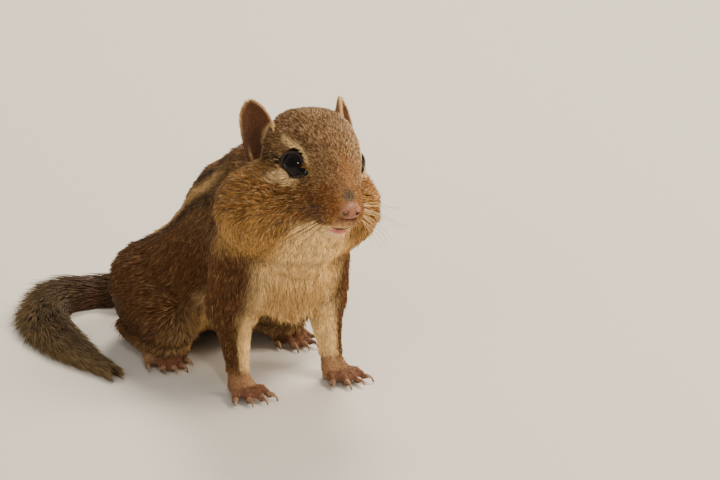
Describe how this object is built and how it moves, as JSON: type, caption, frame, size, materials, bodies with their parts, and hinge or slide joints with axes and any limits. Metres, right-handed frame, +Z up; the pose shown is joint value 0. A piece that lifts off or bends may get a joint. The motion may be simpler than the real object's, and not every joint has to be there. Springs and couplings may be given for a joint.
{
  "type": "chipmunk",
  "caption": "Life-size still chipmunk sitting on its haunches with straight forelegs, raised head, full cheek pouches and its bushy tail laid round its right side.",
  "frame": {"origin": "on the floor, under the middle of the animal's whole box, tail included", "axes": "+Y along the body towards the tail, so the head faces -Y; +X to the animal's left; +Z up"},
  "size_m": [0.0754, 0.1444, 0.0882],
  "materials": {
    "crown": "short grizzled brown fur",
    "nose": "bare pinkish skin",
    "chin": "short whitish fur with pink lips",
    "eye": "glossy black",
    "ear": "thin skin with very short fur and a pale rim",
    "nape": "brown fur",
    "flank": "striped brown fur, cream on the chest and belly",
    "rump": "rufous fur",
    "foreleg": "golden brown fur, cream on the inside",
    "hindleg": "brown fur",
    "paw": "pinkish brown skin with very short fur and horn claws",
    "tail": "long dark grizzled hair with pale tips"
  },
  "bodies": {
    "root": {"head": "crown", "nose": "nose", "jaw": "chin", "eye_right": "eye", "eye_left": "eye", "ear_right": "ear", "ear_left": "ear", "neck": "nape", "torso": "flank", "rump": "rump", "upper_arm_right": "foreleg", "upper_arm_left": "foreleg", "forearm_right": "foreleg", "forearm_left": "foreleg", "forepaw_right": "paw", "forepaw_left": "paw", "thigh_right": "hindleg", "thigh_left": "hindleg", "shank_right": "hindleg", "shank_left": "hindleg", "hindfoot_right": "paw", "hindfoot_left": "paw", "tail_base": "tail", "tail_middle": "tail", "tail_tip": "tail"}
  },
  "joints": []
}
